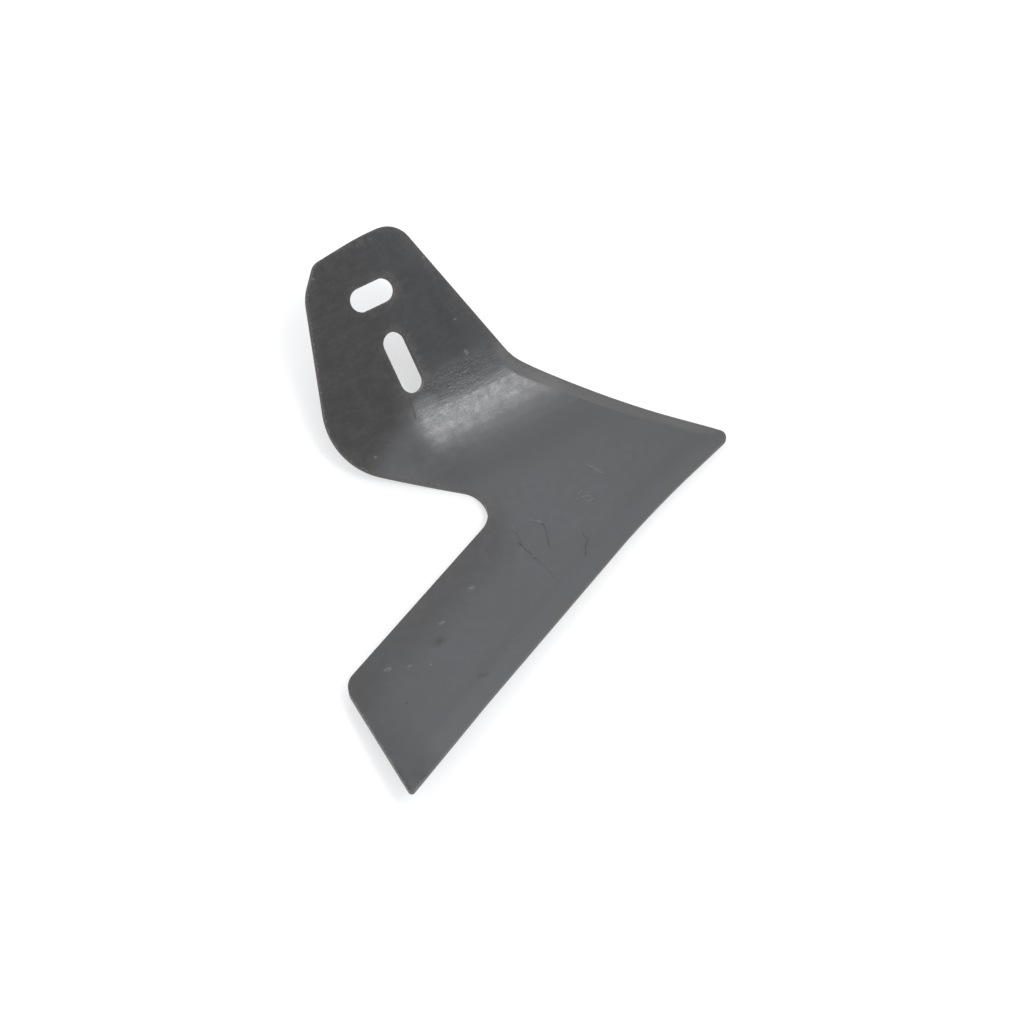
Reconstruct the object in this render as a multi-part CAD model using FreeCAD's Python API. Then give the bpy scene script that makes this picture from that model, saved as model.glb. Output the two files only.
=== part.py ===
# Half sweep blade of a row-crop cultivator: one steel plate, cut to shape, slotted for two shank bolts,
# ground along two edges and bent once, so that the tang leans back over the flat blade.
#
# The blade lies on z = 0 and the tang rises behind it, towards +Y. X runs across the tang, along the bend.
# The origin is on the blade's underside, on the tang's centre line and midway between the blade's back edge
# and its cutting edge. The plate is shaped with the start of the bend at y = 0 and moved there at the end.
import FreeCAD
import Part
import math
import os

# Plate and bend, in mm and degrees. The upper face is on the hollow side of the bend.
plate_thickness = 6.0
bend_radius = 120.0
bend_angle = 35.0

# The flat blank is laid out in two directions: across, from the tang's centre line, and along, from the start
# of the bend towards the tang's top. The bend takes up this much of it, measured at half the thickness.
bend_length = math.radians(bend_angle) * (bend_radius + plate_thickness / 2)

# Tang: it narrows evenly towards its top, the same on both sides of its centre line. The top edge is slightly
# crowned, its right corner is round, and its left corner is cut off between two softer corners.
tang_length = 90.2
tang_top_half_width = 28.3
tang_taper = 16.7
tang_crown_across = 6.0
tang_crown_radius = 120.0
tang_right_radius = 15.0
left_cut_across = -21.5
left_cut_drop = 3.0
left_cut_radius = 8.0
left_cut_height = 17.0
left_cut_low_radius = 25.0

# Bolt slots, both on the centre line: the lower one runs along the tang and the upper one across it.
slot_width = 13.0
lower_slot_length = 35.0
upper_slot_length = 26.0
lower_slot_height = 19.7
slot_spacing = 39.5

# Heel: the wide corner on the left of the bend, where the tang's side edge turns into the notch.
heel_below_bend_top = 13.4
heel_radius = 40.0

# Notch between the heel and the back edge of the blade.
notch_across = 17.6
notch_along = 1.1
notch_radius = 15.0

# Blade: its back edge and the main run of its cutting edge slope at the sweep angle. Its end is square to the bend.
sweep_angle = 22.1
end_across = -113.2
end_radius = 10.0
tip_along = -122.2
tip_radius = 2.0

# The cutting edge is slightly hollow: its slope changes at two wide turns between the tip and the nose.
tip_run_across = -45.3
tip_run_angle = 23.3
tip_run_radius = 3000.0
nose_run_across = 81.0
nose_run_angle = 15.9
nose_run_radius = 700.0

# Nose, and the side edge that climbs from it to the foot of the tang.
nose_across = 142.1
nose_radius = 4.5
side_edge_angle = 48.2
side_fillet_radius = 30.0

# Ground edges, on the upper face: how far each bevel reaches in, and how deep it is at the rim. The cutting
# bevel runs out before the tip, which keeps its full thickness.
cutting_bevel_width = 12.0
cutting_bevel_depth = 4.0
cutting_bevel_runout = 14.0
side_bevel_width = 7.0
side_bevel_depth = 3.0

# From the origin to the start of the bend.
bend_start = 40.5

# How far a cutter passes the faces it cuts, a length beyond the whole plate, and the steps taken round the bend.
over = 5.0
far = 400.0
bend_steps = 24


def slope(angle):
    return math.tan(math.radians(angle))


def cutting_edge():
    """Corners of the cutting edge on the blank, from the tip to the nose."""
    tip_run_along = tip_along + (tip_run_across - end_across) * slope(tip_run_angle)
    nose_run_along = tip_run_along + (nose_run_across - tip_run_across) * slope(sweep_angle)
    nose_along = nose_run_along + (nose_across - nose_run_across) * slope(nose_run_angle)
    return [
        (end_across, tip_along),
        (tip_run_across, tip_run_along),
        (nose_run_across, nose_run_along),
        (nose_across, nose_along),
    ]


def blank_corners():
    """Corners of the whole blank with their radii, counter-clockwise from the tip."""
    tip, tip_run, nose_run, nose = cutting_edge()
    tang_top = bend_length + tang_length
    widening = slope(tang_taper)
    climb = slope(side_edge_angle)
    # The tang's right edge comes down to meet the side edge that climbs from the nose.
    rise = tang_top - nose[1] - climb * (nose_across - tang_top_half_width)
    drop = rise / (1 - climb * widening)
    side_corner = (tang_top_half_width + drop * widening, tang_top - drop)
    heel_along = bend_length - heel_below_bend_top
    heel = (-tang_top_half_width - (tang_top - heel_along) * widening, heel_along)
    back_corner = (end_across, notch_along - (notch_across - end_across) * slope(sweep_angle))
    return [
        (tip, tip_radius),
        (tip_run, tip_run_radius),
        (nose_run, nose_run_radius),
        (nose, nose_radius),
        (side_corner, side_fillet_radius),
        ((tang_top_half_width, tang_top), tang_right_radius),
        ((tang_crown_across, tang_top), tang_crown_radius),
        ((left_cut_across, tang_top - left_cut_drop), left_cut_radius),
        ((-tang_top_half_width - left_cut_height * widening, tang_top - left_cut_height), left_cut_low_radius),
        (heel, heel_radius),
        ((notch_across, notch_along), notch_radius),
        (back_corner, end_radius),
    ]


def rounded_wire(corners, height):
    """Closed wire through the corners at this height, with an arc at each corner that has a radius."""
    points = [FreeCAD.Vector(place[0], place[1], height) for place, radius in corners]
    turns = []
    for i in range(len(corners)):
        corner = points[i]
        radius = corners[i][1]
        before = (points[i - 1] - corner).normalize()
        after = (points[(i + 1) % len(points)] - corner).normalize()
        half = before.getAngle(after) / 2
        reach = radius / math.tan(half)
        middle = (before + after).normalize() * (radius / math.sin(half) - radius)
        turns.append((corner + before * reach, corner + middle, corner + after * reach))
    edges = []
    for i in range(len(turns)):
        start, middle, end = turns[i]
        edges.append(Part.makeLine(turns[i - 1][2], start))
        if corners[i][1] > 0:
            edges.append(Part.Arc(start, middle, end).toShape())
    return Part.Wire(edges)


def band(low, high):
    """Plate cut to the blank's outline between two distances along it, before any bending."""
    strip = Part.makePlane(2 * far, high - low, FreeCAD.Vector(-far, low, 0))
    return blank.common(strip).Faces[0].extrude(FreeCAD.Vector(0, 0, plate_thickness))


def edge_across(along, side):
    """Where the blank's outline lies across at this distance along: side is -1 for left and 1 for right."""
    line = Part.makeLine(FreeCAD.Vector(-far, along, 0), FreeCAD.Vector(far, along, 0))
    box = blank.common(line).BoundBox
    return box.XMax if side > 0 else box.XMin


def flat_point(across, along, depth):
    """Point in the flat blade, this deep under its upper face."""
    return FreeCAD.Vector(across, along, plate_thickness - depth)


def bend_point(across, along, depth):
    """Point in the bent part of the plate, this deep under its upper face."""
    angle = along / (bend_radius + plate_thickness / 2)
    radius = bend_radius + depth
    height = bend_radius + plate_thickness - radius * math.cos(angle)
    return FreeCAD.Vector(across, radius * math.sin(angle), height)


def wall_between(upper_points, lower_points):
    """Ruled wall from a curve above the plate to a curve below it."""
    stations = [float(i) for i in range(len(upper_points))]
    upper = Part.BSplineCurve()
    upper.interpolate(Points=upper_points, Parameters=stations)
    lower = Part.BSplineCurve()
    lower.interpolate(Points=lower_points, Parameters=stations)
    return Part.makeRuledSurface(upper.toShape(), lower.toShape())


def square_wall(places):
    """Wall that stands square to the bent plate over these places on the blank."""
    upper_points = [bend_point(across, along, -over) for across, along in places]
    lower_points = [bend_point(across, along, plate_thickness + over) for across, along in places]
    return wall_between(upper_points, lower_points)


def side_bevel_lines(point_in_plate, places):
    """Lines just above and just below the side bevel, whose rim lies over these places on the blank."""
    reach = side_bevel_width / math.sin(math.radians(side_edge_angle))
    upper_points = []
    lower_points = []
    for across, along in places:
        rim = point_in_plate(across, along, side_bevel_depth)
        crest = point_in_plate(across - reach, along, 0)
        upper_points.append(crest + (crest - rim))
        lower_points.append(rim - (crest - rim))
    return upper_points, lower_points


def piece_at(point, solid, walls):
    """The piece that holds this point once the walls have split the solid."""
    pieces = solid.generalFuse(walls)[0].Solids
    return [piece for piece in pieces if piece.isInside(point, 0.001, True)][0]


def cutting_bevel_outline(inset, height):
    """Outline outside the cutting edge at this height, with the edge's side moved in by the inset."""
    edge = cutting_edge()
    edge[0] = (edge[0][0] - far, edge[0][1] - far * slope(tip_run_angle))
    edge[3] = (edge[3][0] + far, edge[3][1] + far * slope(nose_run_angle))
    angles = [tip_run_angle, tip_run_angle, sweep_angle, nose_run_angle, nose_run_angle]
    radii = [0, tip_run_radius + inset, nose_run_radius + inset, 0]
    corners = []
    for i in range(len(edge)):
        # Both runs that meet at a corner move in square to themselves.
        middle = math.radians((angles[i] + angles[i + 1]) / 2)
        half_turn = math.radians((angles[i] - angles[i + 1]) / 2)
        shift = inset / math.cos(half_turn)
        place = (edge[i][0] - shift * math.sin(middle), edge[i][1] + shift * math.cos(middle))
        corners.append((place, radii[i]))
    corners.append(((2 * far, -2 * far), 0))
    corners.append(((-2 * far, -2 * far), 0))
    return rounded_wire(corners, height)


def cutting_bevel_cutter():
    """Solid over the cutting bevel, shortened by the run-out at the tip."""
    low = cutting_bevel_outline(-cutting_bevel_width, plate_thickness - 2 * cutting_bevel_depth)
    high = cutting_bevel_outline(2 * cutting_bevel_width, plate_thickness + cutting_bevel_depth)
    cutter = Part.makeLoft([low, high], True, True)
    tip = FreeCAD.Vector(end_across, tip_along, plate_thickness)
    fall = -cutting_bevel_depth / cutting_bevel_runout
    ramp = [
        tip + FreeCAD.Vector(-far, 0, -far * fall),
        tip + FreeCAD.Vector(far, 0, far * fall),
        tip + FreeCAD.Vector(-far, 0, far * fall),
    ]
    stop = Part.Face(Part.makePolygon(ramp + [ramp[0]])).extrude(FreeCAD.Vector(0, 2 * far, 0))
    stop.translate(FreeCAD.Vector(0, -far, 0))
    stop.rotate(tip, FreeCAD.Vector(0, 0, 1), tip_run_angle)
    return cutter.cut(stop)


def slot_cutter(along, length, direction):
    """Round-ended cutter on the tang's centre line, this far along from the bend's top."""
    radius = slot_width / 2
    centre = FreeCAD.Vector(0, along, -over)
    side = FreeCAD.Vector(0, 0, 1).cross(direction) * radius
    reach = direction * (length / 2 - radius)
    end = direction * (length / 2)
    edges = [
        Part.makeLine(centre - reach - side, centre + reach - side),
        Part.Arc(centre + reach - side, centre + end, centre + reach + side).toShape(),
        Part.makeLine(centre + reach + side, centre - reach + side),
        Part.Arc(centre - reach + side, centre - end, centre - reach - side).toShape(),
    ]
    return Part.Face(Part.Wire(edges)).extrude(FreeCAD.Vector(0, 0, plate_thickness + 2 * over))


blank = Part.Face(rounded_wire(blank_corners(), 0))

# Flat blade: the side bevel starts where the bend begins and runs out past the nose.
blade = band(-far, 0)
side_start = edge_across(0, 1)
side_line = [(side_start - along / slope(side_edge_angle), along) for along in (over, -far / 4)]
upper_line, lower_line = side_bevel_lines(flat_point, side_line)
side_bevel = Part.Face(Part.makePolygon(upper_line + lower_line[::-1] + upper_line[:1]))
blade = piece_at(FreeCAD.Vector(nose_run_across / 2, -over, 1), blade, [side_bevel])
blade = blade.cut(cutting_bevel_cutter())

# Bend: a strip turned about the bend's axis, its two edges cut square to its faces, then the side bevel.
axis_point = FreeCAD.Vector(0, 0, bend_radius + plate_thickness)
section = Part.makePlane(
    2 * far, plate_thickness, FreeCAD.Vector(-far, 0, 0), FreeCAD.Vector(0, -1, 0), FreeCAD.Vector(1, 0, 0)
)
bend = section.revolve(axis_point, FreeCAD.Vector(1, 0, 0), bend_angle)
places_along = [bend_length * step / bend_steps for step in range(-1, bend_steps + 2)]
left_edge = [(edge_across(along, -1), along) for along in places_along]
right_edge = [(edge_across(along, 1), along) for along in places_along]
inside_bend = bend_point(0, bend_length / 2, plate_thickness / 2)
bend = piece_at(inside_bend, bend, [square_wall(left_edge), square_wall(right_edge)])
bend = piece_at(inside_bend, bend, [wall_between(*side_bevel_lines(bend_point, right_edge))])

# Tang: cut flat with its slots, then turned up to lean back from the bend's end.
tang = band(bend_length, far)
tang.translate(FreeCAD.Vector(0, -bend_length, 0))
tang = tang.cut(slot_cutter(lower_slot_height, lower_slot_length, FreeCAD.Vector(0, 1, 0)))
tang = tang.cut(slot_cutter(lower_slot_height + slot_spacing, upper_slot_length, FreeCAD.Vector(1, 0, 0)))
tang.rotate(FreeCAD.Vector(0, 0, 0), FreeCAD.Vector(1, 0, 0), bend_angle)
tang.translate(bend_point(0, bend_length, plate_thickness))

plate = blade.fuse([bend, tang]).removeSplitter().Solids[0]
plate.translate(FreeCAD.Vector(0, bend_start, 0))
os.makedirs("parts", exist_ok=True)
plate.exportStep("parts/tine_plate.step")
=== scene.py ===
import bpy
import math
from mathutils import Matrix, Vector
from mathutils.bvhtree import BVHTree
from mathutils.geometry import intersect_point_line


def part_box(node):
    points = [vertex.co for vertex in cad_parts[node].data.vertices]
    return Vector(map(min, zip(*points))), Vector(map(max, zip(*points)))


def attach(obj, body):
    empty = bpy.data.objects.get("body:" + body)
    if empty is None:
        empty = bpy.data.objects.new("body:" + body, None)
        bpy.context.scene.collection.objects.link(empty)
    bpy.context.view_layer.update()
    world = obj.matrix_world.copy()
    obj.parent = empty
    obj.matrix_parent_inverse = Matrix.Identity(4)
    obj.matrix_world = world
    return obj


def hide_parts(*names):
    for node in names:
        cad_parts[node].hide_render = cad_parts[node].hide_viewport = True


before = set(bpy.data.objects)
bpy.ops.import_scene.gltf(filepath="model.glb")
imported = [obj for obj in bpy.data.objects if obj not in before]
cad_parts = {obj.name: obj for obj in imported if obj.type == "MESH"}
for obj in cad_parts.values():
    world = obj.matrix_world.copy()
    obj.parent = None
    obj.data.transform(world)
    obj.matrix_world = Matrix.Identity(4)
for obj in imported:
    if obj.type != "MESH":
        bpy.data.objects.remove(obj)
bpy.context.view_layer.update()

# Plate: one piece of 6 mm spring steel, cut from sheet, slotted for its two bolts, ground along the cutting
# edge and the side edge, and pressed once over a wide former. Cutting, grinding and paint have left every
# rim slightly round, and the ridges where the ground edges begin are softer still.
MM = 0.001
plate_thickness = 6 * MM
bend_start = 40.5 * MM
bend_radius = 120 * MM
bend_angle = math.radians(35)
side_ridge_softness = 1.2 * MM
front_ridge_softness = 6 * MM
front_grind_slope = 4 / 12
rim_roundness = 0.45 * MM
rounding_steps = 3
ridge_turn = (12, 40)
rim_turn = (55, 130)
merge_gap = 0.05 * MM
grid_step = 3 * MM
grid_shift = 0.37 * grid_step
bend_steps = 28
tang_reach = 100 * MM

cad_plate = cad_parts["tine_plate"]
bpy.ops.object.select_all(action="DESELECT")
plate = cad_plate.copy()
plate.data = cad_plate.data.copy()
plate.name = "ground_plate"
plate.parent = None
bpy.context.collection.objects.link(plate)
bpy.context.view_layer.objects.active = plate
plate.select_set(True)


def turning_edges(shallowest, steepest):
    """The edges where the surface turns by an angle between these, in degrees, and their lower normal's y."""
    normals_at = {}
    for face in plate.data.polygons:
        for key in face.edge_keys:
            normals_at.setdefault(key, []).append(face.normal)
    found = []
    for edge in plate.data.edges:
        first, second = normals_at[edge.key]
        if shallowest < math.degrees(first.angle(second)) < steepest:
            found.append((edge, min(first.y, second.y)))
    return found


def round_over(edges, softness):
    """Rounds the plate's edges with these numbers, and ends in object mode."""
    bpy.ops.object.mode_set(mode="EDIT")
    bpy.ops.mesh.select_all(action="DESELECT")
    bpy.ops.object.mode_set(mode="OBJECT")
    for number in edges:
        plate.data.edges[number].select = True
    bpy.ops.object.mode_set(mode="EDIT")
    bpy.ops.mesh.bevel(offset=softness, segments=rounding_steps, clamp_overlap=True)
    bpy.ops.object.mode_set(mode="OBJECT")


bpy.ops.object.mode_set(mode="EDIT")
bpy.ops.mesh.select_mode(type="EDGE")
bpy.ops.mesh.select_all(action="SELECT")
bpy.ops.mesh.remove_doubles(threshold=merge_gap)
bpy.ops.mesh.dissolve_limited(angle_limit=math.radians(1))
bpy.ops.object.mode_set(mode="OBJECT")
front_ridge = []
side_ridge = []
for edge, lean in turning_edges(*ridge_turn):
    ends = [plate.data.vertices[number].co.copy() for number in edge.vertices]
    if max(end.y for end in ends) < bend_start and lean < -0.05:
        front_ridge.append(ends)
    else:
        side_ridge.append(edge.index)
round_over(side_ridge, side_ridge_softness)
round_over([edge.index for edge, lean in turning_edges(*rim_turn)], rim_roundness)

outer_radius = bend_radius + plate_thickness
bend_axis = Vector((0, bend_start, outer_radius))
uphill = Vector((0, math.cos(bend_angle), math.sin(bend_angle)))
tang_foot = bend_axis + outer_radius * Vector((0, math.sin(bend_angle), -math.cos(bend_angle)))


def cut_across(point, direction):
    """Cuts the whole skin by a plane, so that it has points along that line and its shape stays."""
    bpy.ops.mesh.select_all(action="SELECT")
    bpy.ops.mesh.bisect(plane_co=point, plane_no=direction, threshold=0.02 * MM)


low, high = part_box("tine_plate")
bpy.ops.object.mode_set(mode="EDIT")
place = low[0] + grid_shift
while place < high[0]:
    cut_across((place, 0, 0), (1, 0, 0))
    place += grid_step
place = low[1] + grid_shift
while place < bend_start - 0.3 * grid_step:
    cut_across((0, place, 0), (0, 1, 0))
    place += grid_step
for step in range(bend_steps + 1):
    angle = bend_angle * step / bend_steps
    cut_across(bend_axis, (0, math.cos(angle), math.sin(angle)))
climb = 0.7 * grid_step
while climb < tang_reach:
    cut_across(tang_foot + climb * uphill, uphill)
    climb += grid_step
bpy.ops.object.mode_set(mode="OBJECT")


def place_on_blank(point):
    """A point's place across, along and up through the flat blank in millimetres, and its two directions."""
    arm = point - bend_axis
    turned = math.atan2(arm.y, -arm.z)
    if point.y < bend_start:
        turned = 0
    turned = min(turned, bend_angle)
    outward = Vector((0, -math.sin(turned), math.cos(turned)))
    onward = Vector((0, math.cos(turned), math.sin(turned)))
    along = turned * (bend_radius + plate_thickness / 2) + arm.dot(onward)
    depth = outer_radius + arm.dot(outward)
    return Vector((point.x, along, depth)) / MM, outward, onward


def gap_to(point, lines):
    """The distance from a point to the nearest of these lines, each given by its two ends."""
    gaps = []
    for start, end in lines:
        foot, share = intersect_point_line(point, start, end)
        foot = start.lerp(end, min(max(share, 0), 1))
        gaps.append((point - foot).length)
    return min(gaps)


# the ridge of the front grind is eased over, most at its middle
for point in plate.data.vertices:
    if point.co.y < bend_start and point.co.z > plate_thickness / 3:
        gap = gap_to(point.co, front_ridge)
        if gap < front_ridge_softness:
            point.co.z -= front_grind_slope * (front_ridge_softness - gap) ** 2 / (4 * front_ridge_softness)


def start_gently(low_corner, high_corner, heading, depth, end_rim):
    """Lets a ground edge start from nothing at one end of this part of the blank, past a rim this wide."""
    length = abs((Vector(high_corner) - Vector(low_corner)).dot(heading))
    start = Vector(low_corner) if sum(heading) > 0 else Vector(high_corner)
    for point in plate.data.vertices:
        blank_place, outward, onward = place_on_blank(point.co)
        gone = (blank_place.xy - start).dot(heading)
        ground_away = plate_thickness / MM - blank_place.z
        inside_across = low_corner[0] < blank_place.x < high_corner[0]
        inside_along = low_corner[1] < blank_place.y < high_corner[1]
        if inside_across and inside_along and 0.02 < ground_away < depth + 0.6:
            grown = gone / length
            share = grown * grown * (3 - 2 * grown)
            if gone < end_rim:
                ground_away = max(ground_away - rim_roundness / MM, 0)
            point.co += (1 - share) * min(ground_away, depth) * MM * outward


# the side grind starts at the foot of the tang, the cutting edge's at the tip of the wing
start_gently((40, 57), (100, 75.2), Vector((0, -1)), depth=3, end_rim=0)
start_gently((-114, -130), (-88, -96), Vector((1, 0)), depth=4, end_rim=1.4)
bpy.ops.object.shade_smooth()
bpy.ops.object.modifier_add(type="WEIGHTED_NORMAL")
plate.modifiers[-1].keep_sharp = False
plate.modifiers[-1].weight = 80
bpy.ops.object.modifier_apply(modifier=plate.modifiers[-1].name)

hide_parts("tine_plate")
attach(plate, "root")

# Wear map: every point of the skin keeps its place on the flat blank, in millimetres, and its distance from the
# nearest cut wall. Paint, rubbing and scratches follow these, so they run round the bend as they do on steel.
least_wall_area = 0.3 * MM * MM
side_grind_lean = (9, 45)
skin = plate.data
wall_faces = []
for face in skin.polygons:
    blank_place, outward, onward = place_on_blank(face.center)
    if abs(face.normal.dot(outward)) < 0.2 and face.area > least_wall_area:
        wall_faces.append(face)
skin_points = [point.co.copy() for point in skin.vertices]
walls = BVHTree.FromPolygons(skin_points, [list(face.vertices) for face in wall_faces])


def gap_to_wall(place):
    return walls.find_nearest(place)[3]


on_side_grind = set()
for face in skin.polygons:
    blank_place, outward, onward = place_on_blank(face.center)
    lean = math.degrees(face.normal.angle(outward))
    if side_grind_lean[0] < lean < side_grind_lean[1] and gap_to_wall(face.center) > 1.3 * rim_roundness:
        if face.normal.dot(onward) > 0 and face.center.x > 0:
            on_side_grind.update(face.vertices)


def keep_map(name, kind, field, values):
    """Keeps one value for each point of the skin under this name."""
    kept = skin.attributes.new(name, kind, "POINT")
    for record, value in zip(kept.data, values):
        setattr(record, field, value)


keep_map("on_blank", "FLOAT_VECTOR", "vector", [place_on_blank(place)[0] for place in skin_points])
keep_map("rim_distance", "FLOAT", "value", [gap_to_wall(place) / MM for place in skin_points])
keep_map("side_grind", "FLOAT", "value", [float(point.index in on_side_grind) for point in skin.vertices])


# Paint: thin dark grey paint over the steel, a little cloudy. It is rubbed glossy in the bend, where the plate
# met its former, thinner and browner along the rims and the side edge, and scratched by stones.
def add_node(tree, kind, inputs=(), **options):
    """Adds a node, sets its options, and gives its inputs numbers, colours or links."""
    node = tree.nodes.new("ShaderNode" + kind)
    for option, value in options.items():
        setattr(node, option, value)
    for name, value in dict(inputs).items():
        if isinstance(value, bpy.types.NodeSocket):
            tree.links.new(value, node.inputs[name])
        else:
            node.inputs[name].default_value = value
    return node


def new_material(name):
    material = bpy.data.materials.new(name)
    material.use_nodes = True
    material.node_tree.nodes.clear()
    return material, material.node_tree


paint, tree = new_material("worn_grey_paint")


def read_map(name, output):
    return add_node(tree, "Attribute", attribute_name=name).outputs[output]


def maths(operation, first, second=0.0):
    return add_node(tree, "Math", {0: first, 1: second}, operation=operation).outputs["Value"]


def times(*factors):
    product = factors[0]
    for factor in factors[1:]:
        product = maths("MULTIPLY", product, factor)
    return product


def plus(first, second):
    return maths("ADD", first, second)


def strongest(masks):
    found = masks[0]
    for mask in masks[1:]:
        found = maths("MAXIMUM", found, mask)
    return found


def places(operation, first, second, output="Vector"):
    return add_node(tree, "VectorMath", {0: first, 1: second}, operation=operation).outputs[output]


def length_of(vector):
    return add_node(tree, "VectorMath", {0: vector}, operation="LENGTH").outputs["Value"]


def scaled(vector, share):
    return add_node(tree, "VectorMath", {0: vector, "Scale": share}, operation="SCALE").outputs["Vector"]


def part_of(vector, letter):
    return add_node(tree, "SeparateXYZ", {0: vector}).outputs[letter]


def grain(vector, scale, detail=2.0, roughness=0.5, output="Fac"):
    """Cloudy noise between 0 and 1, with this many clouds to the millimetre."""
    inputs = {"Vector": vector, "Scale": scale, "Detail": detail, "Roughness": roughness}
    return add_node(tree, "TexNoise", inputs).outputs[output]


def fade(value, start, end, low=0.0, high=1.0):
    """Goes smoothly from low to high while the value goes from start to end."""
    inputs = {"Value": value, "From Min": start, "From Max": end, "To Min": low, "To Max": high}
    return add_node(tree, "MapRange", inputs, interpolation_type="SMOOTHSTEP").outputs["Result"]


def tinted(amount, base, colour):
    return add_node(tree, "Mix", {0: amount, 6: base, 7: colour}, data_type="RGBA").outputs[2]


def stretched(vector, across, along):
    """The same places with each direction of the blank scaled, for streaks."""
    return places("MULTIPLY", vector, (across, along, 1.0))


def patch(centre, reach_across, reach_along, softness):
    """An oval on the blank: 1 inside, fading to 0 over this share of its reach."""
    moved = places("SUBTRACT", rough_place, (*centre, 0.0))
    flat = places("MULTIPLY", moved, (1 / reach_across, 1 / reach_along, 0.0))
    return fade(length_of(flat), 1.0, 1.0 - softness)


def stroke(start, end, width):
    """A scratch on the blank from start to end: 1 along its line, fading to 0 at its width."""
    line = Vector(end) - Vector(start)
    heading = (*line.normalized(), 0.0)
    moved = places("SUBTRACT", rough_place, (*start, 0.0))
    gone = places("DOT_PRODUCT", moved, heading, "Value")
    gone = maths("MINIMUM", maths("MAXIMUM", gone), line.length)
    gap = places("SUBTRACT", moved, scaled(heading, gone))
    gap = places("MULTIPLY", gap, (1.0, 1.0, 0.0))
    return fade(length_of(gap), width, width * 0.35)


# places on the blank, plain and slightly wobbled, in millimetres, and the parts that differ
on_blank = read_map("on_blank", "Vector")
rim_distance = read_map("rim_distance", "Fac")
side_grind = read_map("side_grind", "Fac")
wobble_size = 2.4
wobble = places("SUBTRACT", grain(on_blank, 0.45, 3.0, output="Color"), (0.5, 0.5, 0.5))
rough_place = places("ADD", on_blank, scaled(wobble, wobble_size))
across_plate = part_of(rough_place, "X")
down_plate = part_of(rough_place, "Y")
steel_left = part_of(on_blank, "Z")
upper_side = fade(steel_left, 3.0, 5.0)
left_lean = times(maths("MINIMUM", across_plate, 0.0), -0.6)
down_tang = plus(down_plate, left_lean)
on_tang = fade(down_tang, 62.0, 84.0)
front_grind = times(fade(steel_left, 5.9, 4.0), fade(steel_left, 0.8, 1.6), fade(rim_distance, 0.1, 0.7))
front_grind = times(front_grind, maths("SUBTRACT", 1.0, side_grind), fade(across_plate, -108.0, -76.0))

# colour of the paint, cloudy at three sizes, a little browner and bluer by turns
clouds = grain(on_blank, 0.045, 3.0, 0.6)
mottle = grain(on_blank, 0.22, 4.0, 0.6)
speckle = grain(on_blank, 1.6, 2.0, 0.6)
colour = tinted(fade(clouds, 0.3, 0.7), (0.0640, 0.0650, 0.0670, 1), (0.0670, 0.0700, 0.0755, 1))
colour = tinted(times(fade(mottle, 0.42, 0.62), 0.35), colour, (0.0740, 0.0765, 0.0810, 1))

# the tang is painted darker than the blade as painted shade, since it faces away from the lamps, and a painted
# gradient of light leaves it darkest on the left and lighter and bluer to the right; it is streaked, and worn
# lighter at its upper right corner
tang_colour_and_shade = tinted(fade(across_plate, -22.0, 22.0), (0.0200, 0.0175, 0.0185, 1), (0.0240, 0.0262, 0.0295, 1))
tang_colour_and_shade = tinted(fade(across_plate, 30.0, 52.0), tang_colour_and_shade, (0.0420, 0.0430, 0.0455, 1))
worn_corner = patch((36.0, 150.0), 16.0, 22.0, 1.0)
tang_colour_and_shade = tinted(times(worn_corner, 0.8), tang_colour_and_shade, (0.0460, 0.0465, 0.0490, 1))
dark_arc = strongest([patch((30.0, 108.0), 8.0, 22.0, 1.0), patch((19.0, 134.0), 9.0, 9.0, 1.0)])
tang_colour_and_shade = tinted(times(dark_arc, 0.55), tang_colour_and_shade, (0.0130, 0.0150, 0.0190, 1))
tang_streaks = fade(grain(stretched(rough_place, 0.09, 0.2), 1.0, 5.0, 0.68), 0.44, 0.64)
tang_colour_and_shade = tinted(times(tang_streaks, 0.55), tang_colour_and_shade, (0.0400, 0.0385, 0.0380, 1))
tang_colour_and_shade = tinted(times(fade(mottle, 0.48, 0.30), 0.5), tang_colour_and_shade, (0.0120, 0.0115, 0.0130, 1))
colour = tinted(times(on_tang, 0.95), colour, tang_colour_and_shade)
colour = tinted(times(fade(speckle, 0.60, 0.75), 0.25), colour, (0.050, 0.050, 0.052, 1))

# painted shade along the back of the wing, and a little darker on the way to the nose
back_painted_shade = stroke((-16.0, -8.0), (-116.0, -48.0), 34.0)
colour = tinted(times(back_painted_shade, upper_side, 0.62), colour, (0.0340, 0.0335, 0.0340, 1))
nose_shade = fade(across_plate, 40.0, 110.0, 0.0, 0.35)
colour = tinted(times(nose_shade, upper_side), colour, (0.0500, 0.0505, 0.0520, 1))

# painted shade at the foot of the bend and by the heel, below the bend's highlight; darker at the wing's end,
# lighter in a square under the lower slot
bend_foot_shade = times(fade(down_plate, 10.0, 25.0), fade(down_plate, 42.0, 30.0), fade(across_plate, 96.0, 70.0))
colour = tinted(times(bend_foot_shade, upper_side, 0.35), colour, (0.0400, 0.0405, 0.0420, 1))
heel_shade = patch((-4.0, 38.0), 30.0, 30.0, 1.0)
colour = tinted(times(heel_shade, upper_side, 0.65), colour, (0.0340, 0.0345, 0.0360, 1))
under_slot = patch((1.0, 69.5), 9.0, 7.5, 0.5)
colour = tinted(times(under_slot, upper_side, 0.7), colour, (0.1050, 0.1070, 0.1110, 1))
wing_end = fade(across_plate, -86.0, -112.0)
colour = tinted(times(wing_end, upper_side, 0.4), colour, (0.0300, 0.0300, 0.0310, 1))
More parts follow.
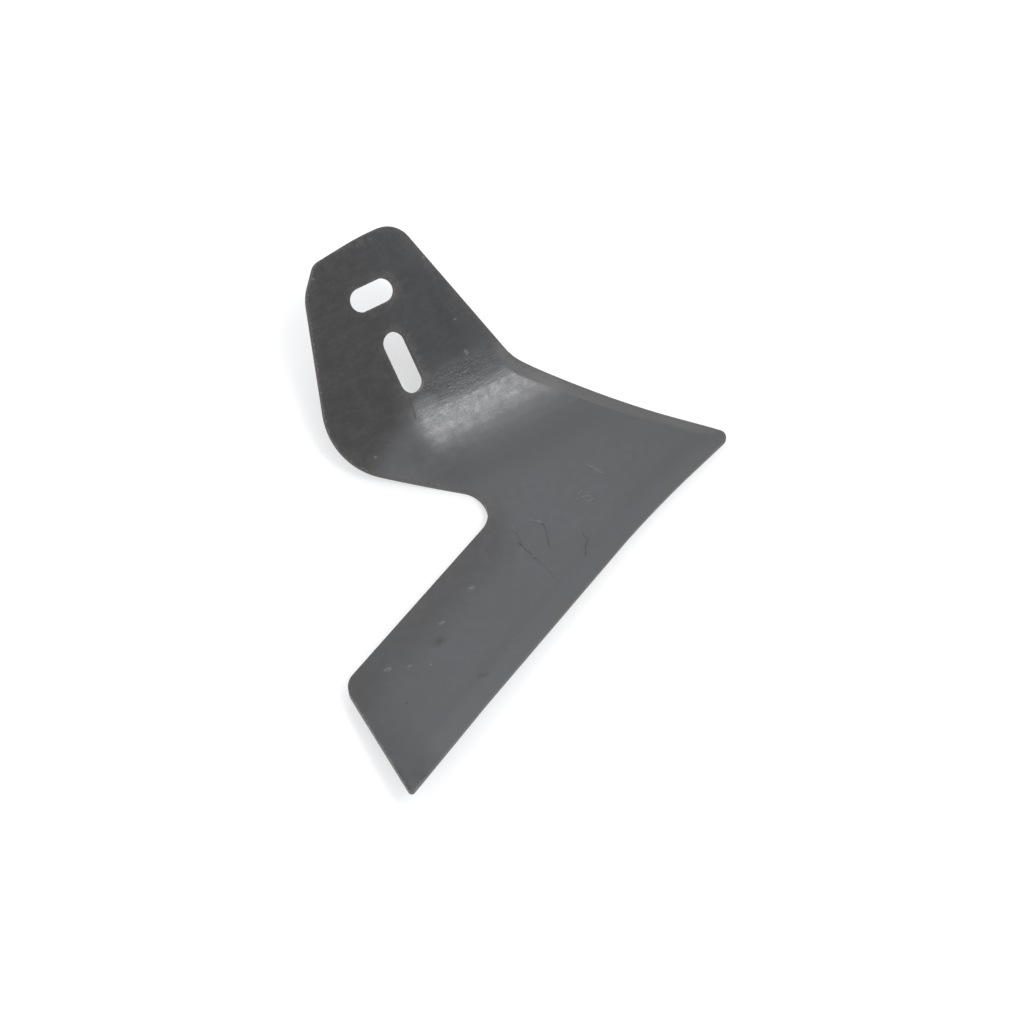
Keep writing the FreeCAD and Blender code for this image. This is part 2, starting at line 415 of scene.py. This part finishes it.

# ground edges: the side one browner, and painted lighter up in the bend as a painted highlight where the bend's
# shine runs onto it; the cutting one tinted slightly blue-green as a painted reflection of cool light
side_colour_and_highlight = tinted(fade(down_plate, 8.0, 45.0), (0.088, 0.084, 0.084, 1), (0.104, 0.100, 0.099, 1))
colour = tinted(times(side_grind, fade(down_plate, 68.0, 46.0)), colour, side_colour_and_highlight)
colour = tinted(times(front_grind, 0.35), colour, (0.064, 0.074, 0.078, 1))
# painted highlight at the foot of the tang, where the bend's shine reaches the side edge
foot_painted_highlight = times(stroke((70.0, 52.0), (57.0, 74.0), 12.0), fade(steel_left, 1.0, 3.0))
colour = tinted(times(foot_painted_highlight, 0.55), colour, (0.150, 0.148, 0.148, 1))
# painted light on the small ground facet at the tip of the wing
tip_facet_light = stroke((-94.0, -118.0), (-113.0, -123.5), 2.6)
colour = tinted(times(tip_facet_light, 0.8), colour, (0.115, 0.116, 0.118, 1))
towards_front = fade(plus(down_plate, times(across_plate, -0.45)), 0.0, -30.0)
edge_line = times(fade(rim_distance, 1.1, 0.3), fade(steel_left, 4.2, 3.4), fade(steel_left, 0.8, 1.4))
colour = tinted(times(edge_line, towards_front, 0.7), colour, (0.125, 0.132, 0.138, 1))

# rims: mottled and browner in a narrow band, that band painted fainter on the left and the left walls painted
# darker as painted shade, since they face away from the lamps; bare in spots on the very edge
ragged = plus(rim_distance, fade(grain(on_blank, 0.24, 5.0, 0.7), 0.3, 0.7, -3.5, 3.0))
rim_dust_and_side_light = times(fade(ragged, 5.0, -1.0), fade(across_plate, -30.0, 10.0, 0.15, 0.5))
colour = tinted(rim_dust_and_side_light, colour, (0.078, 0.071, 0.064, 1))
left_wall_shade = times(fade(rim_distance, 0.5, 0.1), fade(steel_left, 1.6, 2.8), fade(across_plate, 10.0, -20.0))
colour = tinted(times(left_wall_shade, 0.6), colour, (0.0180, 0.0175, 0.0175, 1))
chipped = plus(rim_distance, fade(grain(on_blank, 0.9, 4.0, 0.7), 0.35, 0.65, -0.7, 0.9))
bare = times(fade(chipped, 0.35, 0.0), fade(steel_left, 4.4, 5.5))
colour = tinted(times(bare, 0.6), colour, (0.150, 0.138, 0.126, 1))

# scratches and knocks from stones, broken up along their length, and two dull smears
light_marks = strongest([
    stroke((8.8, -14.5), (8.2, -19.0), 0.4),
    stroke((9.0, -35.6), (9.4, -37.0), 0.6),
    stroke((18.5, -16.8), (23.2, -20.5), 0.45),
    stroke((63.0, -3.0), (67.2, -12.2), 0.45),
    stroke((49.0, -15.5), (52.0, -15.0), 0.5),
    stroke((50.0, -18.5), (53.5, -19.5), 0.5),
    stroke((51.5, -22.0), (54.5, -22.5), 0.45),
    patch((-29.2, -36.5), 3.2, 1.7, 0.6),
    patch((-52.0, -46.5), 2.6, 1.2, 0.6),
    patch((-89.5, -56.0), 3.2, 1.5, 0.6),
    patch((-79.5, -60.0), 2.2, 1.0, 0.6),
    patch((-69.0, -64.8), 1.3, 0.8, 0.6),
    patch((-36.5, 55.5), 1.4, 1.2, 0.6),
    patch((36.0, 104.2), 1.4, 0.9, 0.6),
    patch((33.8, 85.2), 1.6, 2.2, 0.6),
    patch((34.0, 141.0), 1.0, 1.6, 0.6),
    patch((-26.0, 155.5), 1.0, 1.0, 0.6),
])
faint_marks = strongest([
    stroke((8.2, -19.0), (7.0, -29.5), 0.45),
    stroke((7.0, -29.5), (10.5, -45.8), 0.45),
    stroke((10.5, -45.8), (12.0, -53.5), 0.45),
])
dark_marks = strongest([
    times(faint_marks, 0.5),
    stroke((38.2, -37.5), (38.9, -42.5), 0.55),
    stroke((38.9, -42.5), (35.5, -46.0), 0.6),
    stroke((35.5, -46.0), (32.5, -50.5), 0.45),
    stroke((23.2, -22.0), (22.0, -28.5), 0.5),
    stroke((22.0, -28.5), (19.0, -35.0), 0.4),
    stroke((6.2, -25.5), (7.6, -31.5), 0.45),
    stroke((8.2, -33.0), (9.2, -38.8), 0.5),
    patch((-90.5, -77.8), 1.2, 0.8, 0.9),
    stroke((-5.5, 77.0), (-7.0, 64.0), 0.4),
])
smears = strongest([
    patch((-58.5, -55.0), 8.0, 4.2, 1.0),
    times(patch((-48.5, -83.5), 6.0, 2.6, 1.0), 0.7),
])
streaks = grain(stretched(rough_place, 0.45, 1.6), 0.9, 3.0, 0.6)
breaks = grain(on_blank, 0.9, 3.0, 0.6)
smears = times(smears, fade(streaks, 0.36, 0.52), upper_side)
light_marks = times(light_marks, fade(breaks, 0.34, 0.5), upper_side)
dark_marks = times(dark_marks, fade(breaks, 0.64, 0.5), upper_side)
colour = tinted(times(smears, 0.9), colour, (0.036, 0.035, 0.036, 1))
colour = tinted(times(light_marks, 0.8), colour, (0.145, 0.139, 0.135, 1))
colour = tinted(times(dark_marks, 0.85), colour, (0.038, 0.036, 0.036, 1))

# scuffed strip across the top of the bend, with short ragged marks that run across the plate
scuffs = grain(stretched(rough_place, 0.22, 1.1), 0.9, 4.0, 0.65)
scuff_zone = times(patch((28.0, 76.0), 27.0, 11.0, 0.5), upper_side)
colour = tinted(times(fade(scuffs, 0.52, 0.62), scuff_zone, 0.4), colour, (0.115, 0.118, 0.124, 1))

# gloss: the bend is polished by the former and the soil, while its left end, the tang and all marks are dull
polished = times(fade(down_plate, 28.0, 60.0), fade(down_plate, 94.0, 76.0), fade(across_plate, -24.0, 0.0))
polished = times(polished, fade(across_plate, 80.0, 44.0, 0.5, 1.0), upper_side)
dull = strongest([
    times(fade(across_plate, 0.0, -20.0), fade(down_plate, 30.0, 48.0)),
    fade(down_tang, 76.0, 96.0),
])
plain_roughness = 0.42
polished_roughness = 0.22
dull_roughness = 0.58
gloss = fade(polished, 0.0, 1.0, plain_roughness, polished_roughness)
gloss = plus(gloss, times(maths("SUBTRACT", dull_roughness, gloss), dull))
gloss = plus(gloss, fade(mottle, 0.3, 0.7, -0.03, 0.05))
gloss = plus(gloss, times(strongest([light_marks, dark_marks, bare]), 0.15))

# relief in millimetres: fine orange peel, slow waves, wrinkles where it is scuffed, dents in the dark marks
peel = times(grain(on_blank, 0.8, 3.0, 0.55), 0.018)
waves = times(grain(on_blank, 0.06, 1.0), 0.15)
wrinkles = times(scuffs, plus(scuff_zone, times(polished, 0.5)), 0.16)
height = plus(plus(peel, waves), wrinkles)
height = maths("SUBTRACT", height, times(dark_marks, 0.08))
relief = add_node(tree, "Bump", {"Height": height, "Strength": 0.6, "Distance": MM}).outputs["Normal"]
surface = add_node(tree, "BsdfPrincipled", {"Base Color": colour, "Roughness": gloss, "Normal": relief})
add_node(tree, "OutputMaterial", {"Surface": surface.outputs["BSDF"]})
skin.materials.clear()
skin.materials.append(paint)

# Table: a plain white table top, lit a little from within. The loose plate rolls back slightly onto the round
# underside of its bend, so the table lies lower under the tip of the wing than under the bend.
rest_place = Vector((0, 56.4, 0.9)) * MM
rest_tilt = math.radians(7.25)
table_size = 6
table_shade = 0.56
table_glow = 0.52
bpy.ops.object.select_all(action="DESELECT")
bpy.ops.mesh.primitive_plane_add(size=table_size, location=rest_place, rotation=(rest_tilt, 0, 0))
table = bpy.context.object
table.name = "table"
white, tree = new_material("white_table")


def seen_rays():
    """1 for rays from the camera and from gloss or glass, 0 for those that only carry light about."""
    ray = add_node(tree, "LightPath").outputs
    return strongest([ray["Is Camera Ray"], ray["Is Glossy Ray"], ray["Is Transmission Ray"]])


cloth = add_node(tree, "BsdfDiffuse", {"Color": (table_shade, table_shade, table_shade, 1)})
glow = add_node(tree, "Emission", {"Color": (1, 1, 1, 1), "Strength": times(seen_rays(), table_glow)})
both = add_node(tree, "AddShader", {0: cloth.outputs["BSDF"], 1: glow.outputs["Emission"]})
add_node(tree, "OutputMaterial", {"Surface": both.outputs["Shader"]})
table.data.materials.append(white)

# Light: a row of soft boxes that runs from the front over the top, whose shine gives the bend its highlight,
# and a broad one behind the blade, all in a bright pale room. The boxes themselves never show in the picture.
box_distance = 5
box_aim = Vector((0.02, 0.03, 0))
watts_for_area = 4


def soft_box(name, compass, height_angle, width, height, brightness):
    """A flat lamp that faces the plate: its compass bearing from +Y towards +X, its angle over the table."""
    lamp = bpy.data.lights.new(name, "AREA")
    lamp.shape = "RECTANGLE"
    lamp.size = width
    lamp.size_y = height
    lamp.energy = watts_for_area * brightness * width * height
    box = bpy.data.objects.new(name, lamp)
    bearing = math.radians(compass)
    lift = math.radians(height_angle)
    towards = Vector((math.cos(lift) * math.sin(bearing), math.cos(lift) * math.cos(bearing), math.sin(lift)))
    box.location = box_aim + box_distance * towards
    box.rotation_euler = towards.to_track_quat("Z", "Y").to_euler()
    bpy.context.collection.objects.link(box)
    box.visible_camera = False


soft_box("front_low_box", 149, 59.5, 0.70, 0.35, 11.2)
soft_box("front_box", 148.5, 62.5, 0.70, 0.70, 7.2)
soft_box("front_high_box", 147, 68, 0.70, 0.61, 5.8)
soft_box("top_box", 143, 74, 1.05, 0.79, 3.6)
soft_box("top_right_box", 130, 71, 0.70, 0.61, 2.6)
soft_box("overhead_box", 112, 75, 0.90, 0.70, 1.4)
soft_box("rear_box", 30, 60, 1.76, 1.40, 2.0)

world = bpy.data.worlds.new("pale_room")
bpy.context.scene.world = world
world.use_nodes = True
tree = world.node_tree
tree.nodes.clear()
room = add_node(tree, "Background", {"Color": (0.95, 0.97, 1, 1), "Strength": 0.89})
backdrop = add_node(tree, "Background", {"Color": (1, 1, 1, 1), "Strength": 1.0})
inputs = {0: seen_rays(), 1: room.outputs["Background"], 2: backdrop.outputs["Background"]}
either = add_node(tree, "MixShader", inputs)
add_node(tree, "OutputWorld", {"Surface": either.outputs["Shader"]})

# Camera: a plain lens 1.4 m away, which looks down on the plate from the side of the wing's tip, 60 degrees
# above the blade.
camera_place = Vector((-339.46, -567.42, 1211.37)) * MM
camera_back = Vector((-0.25302, -0.43126, 0.86603))
camera_right = Vector((0.86251, -0.50603, 0.0))
lens = bpy.data.cameras.new("camera")
lens.sensor_fit = "HORIZONTAL"
lens.angle = math.radians(22.15)
camera = bpy.data.objects.new("camera", lens)
turn = camera.matrix_world.to_3x3()
turn.col[0] = camera_right
turn.col[1] = camera_back.cross(camera_right)
turn.col[2] = camera_back
camera.matrix_world = turn.to_4x4()
camera.location = camera_place
bpy.context.collection.objects.link(camera)
bpy.context.scene.camera = camera
bpy.context.scene.view_settings.view_transform = "Standard"
